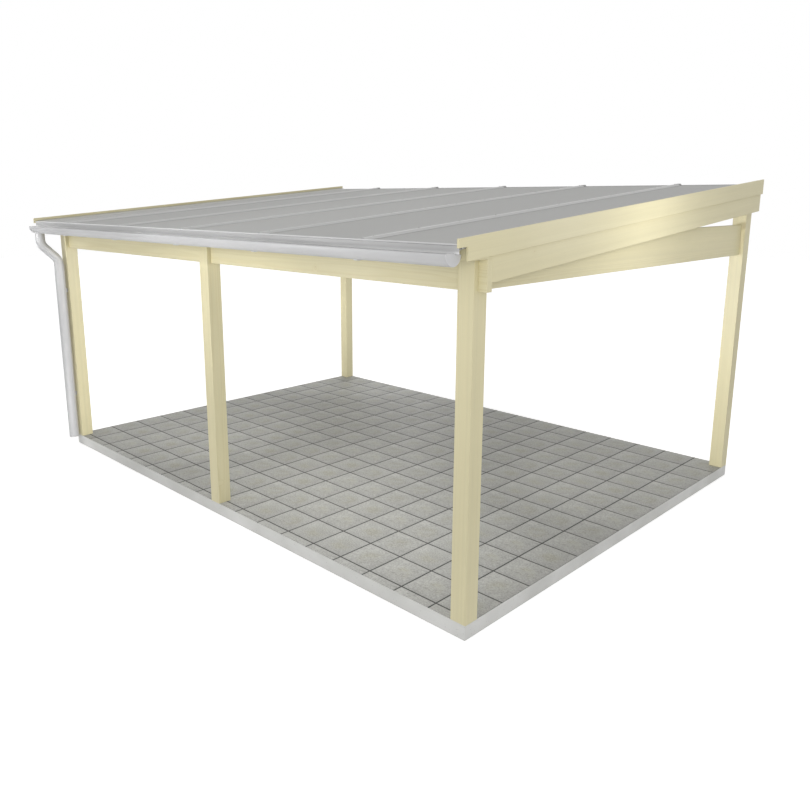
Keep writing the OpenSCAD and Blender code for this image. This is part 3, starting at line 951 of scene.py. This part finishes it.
def make_stage():
    """Pale floor that shows white where no shadow falls on it."""
    shape = bmesh.new()
    bmesh.ops.create_grid(shape, x_segments=1, y_segments=1, size=FLOOR_SIZE / 2)
    mesh = bpy.data.meshes.new("studio_floor")
    shape.to_mesh(mesh)
    shape.free()
    floor = bpy.data.objects.new("studio_floor", mesh)
    SCENE.collection.objects.link(floor)
    finish, tree, shader = new_finish("Studio floor")
    shader["Base Color"].default_value = STAGE_COLOUR
    shader["Roughness"].default_value = 0.9
    shader["Specular IOR Level"].default_value = 0.0
    shader["Emission Color"].default_value = WHITE
    seen = add_node(tree, "LightPath").outputs["Is Camera Ray"]
    tree.links.new(maths(tree, "MULTIPLY", seen, STAGE_LIFT), shader["Emission Strength"])
    mesh.materials.append(finish)


def make_world():
    """White where it is seen directly, in gloss or through glass; a soft grey fill elsewhere."""
    world = bpy.data.worlds.new("Studio")
    SCENE.world = world
    world.use_nodes = True
    tree = world.node_tree
    background = tree.nodes["Background"].inputs
    rays = add_node(tree, "LightPath").outputs
    seen = maths(tree, "MAXIMUM", rays["Is Camera Ray"], rays["Is Glossy Ray"])
    seen = maths(tree, "MAXIMUM", seen, rays["Is Transmission Ray"])
    background["Color"].default_value = WHITE
    tree.links.new(ranged(tree, seen, (0.0, 1.0), (FILL, 1.0)), background["Strength"])


def softbox(name, place, aim, size, power, spread=180):
    """Square lamp at a place, aimed at a point; its spread is in degrees."""
    light = bpy.data.lights.new(name, "AREA")
    light.spread = math.radians(spread)
    light.shape = "SQUARE"
    light.size = size
    light.energy = power
    lamp = bpy.data.objects.new(name, light)
    lamp.location = place
    lamp.rotation_euler = (Vector(aim) - Vector(place)).to_track_quat("-Z", "Y").to_euler()
    lamp.visible_camera = False
    SCENE.collection.objects.link(lamp)


def make_outer_lamps():
    """Soft light on the outer faces that look forward and to the right."""
    softbox("Key lamp", (5.35, -5.35, 2.7), (0.5, -0.5, 1.9), size=1.6, power=21.4, spread=110)
    softbox("Front lamp", (0.2, -3.7, 1.95), (0.2, -1.9, 2.0), size=0.5, power=9.5)
    softbox("Right beam lamp", (1.7, -4.4, 1.9), (1.7, -1.9, 2.2), size=1.4, power=1.5, spread=60)
    softbox("Left beam lamp", (-1.6, -4.6, 1.9), (-1.8, -1.9, 2.2), size=1.4, power=2.9, spread=60)
    softbox("Left post lamp", (-1.6, -3.4, 0.7), (-2.6, -2.0, 0.7), size=0.5, power=0.4, spread=70)
    softbox("Left foot lamp", (-1.5, -3.3, 0.3), (-2.62, -2.0, 0.3), size=0.5, power=0.75, spread=60)
    softbox("Side lamp", (3.6, -0.15, 2.5), (2.7, -0.15, 2.4), size=0.5, power=5.0)
    softbox("Back post lamp", (2.86, -0.5, 2.27), (2.67, 1.87, 2.24), size=0.1, power=0.07, spread=13)


def make_inner_lamps():
    """Soft light on the floor and on the inner faces of the timbers."""
    softbox("Floor lamp", (0.2, -1.2, 2.1), (0.2, -1.2, 0.0), size=1.6, power=10.8, spread=110)
    softbox("Right floor lamp", (1.9, -1.5, 1.9), (1.9, -1.5, 0.0), size=0.8, power=5.4, spread=110)
    softbox("Left inner lamp", (-0.3, -1.3, 1.9), (-2.6, -0.8, 1.0), size=0.5, power=14.9, spread=110)
    softbox("Right inner lamp", (1.4, -1.2, 1.7), (2.6, 1.9, 1.1), size=0.5, power=14.0, spread=90)
    softbox("Back inner lamp", (-1.6, 0.4, 1.5), (-2.6, 1.9, 1.0), size=0.4, power=5.4, spread=110)


def make_eaves_and_back_lamps():
    """Soft light on the eaves and from behind."""
    softbox("Eaves lamp", (0.4, -5.4, 3.0), (0.1, -2.2, 2.3), size=1.8, power=2.2, spread=20)
    softbox("Left eaves lamp", (-2.4, -5.4, 3.0), (-2.7, -2.2, 2.34), size=0.9, power=0.9, spread=18)
    softbox("Back lamp", (-4.6, 5.4, 2.6), (0.0, 0.5, 1.9), size=1.6, power=12.5, spread=110)


def make_camera():
    """Camera off the right front corner, a little above the eaves."""
    data = bpy.data.cameras.new("Camera")
    data.sensor_width = CAMERA_SENSOR
    data.lens = CAMERA_LENS
    data.shift_x, data.shift_y = CAMERA_SHIFT
    camera = bpy.data.objects.new("Camera", data)
    camera.location = CAMERA_PLACE
    camera.rotation_euler = (math.radians(90 - CAMERA_PITCH), 0.0, math.radians(CAMERA_TURN))
    SCENE.collection.objects.link(camera)
    SCENE.camera = camera


make_stage()
make_world()
make_outer_lamps()
make_inner_lamps()
make_eaves_and_back_lamps()
make_camera()
SCENE.view_settings.view_transform = "Standard"
